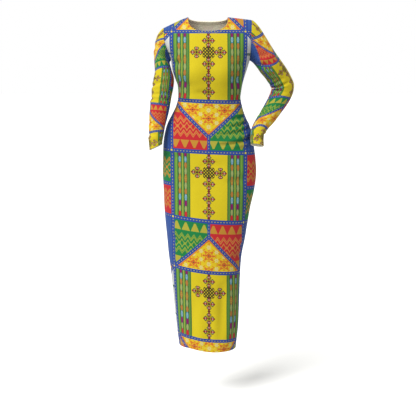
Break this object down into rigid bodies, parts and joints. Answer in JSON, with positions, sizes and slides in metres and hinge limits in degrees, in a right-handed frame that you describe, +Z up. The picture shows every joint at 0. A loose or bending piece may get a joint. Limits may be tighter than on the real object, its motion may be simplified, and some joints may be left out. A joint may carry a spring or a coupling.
{
  "type": "bodycon dress",
  "caption": "Long-sleeved, ankle-length bodycon dress of printed stretch jersey with a round neck, hollow and filled out as worn, one arm bent with its cuff at the hip.",
  "frame": {"origin": "midway between the shoulders, at the height of the neck points, where the dress hangs", "axes": "+Z up, the front faces -Y, +X is to the right of someone who looks at the front"},
  "size_m": [0.5572, 0.2407, 1.29],
  "materials": {
    "front": "printed stretch jersey, matt",
    "back": "printed stretch jersey, matt",
    "sleeve_left": "printed stretch jersey, matt",
    "sleeve_right": "printed stretch jersey, matt"
  },
  "bodies": {
    "root": {"front": "front", "back": "back", "sleeve_left": "sleeve_left", "sleeve_right": "sleeve_right"}
  },
  "joints": []
}
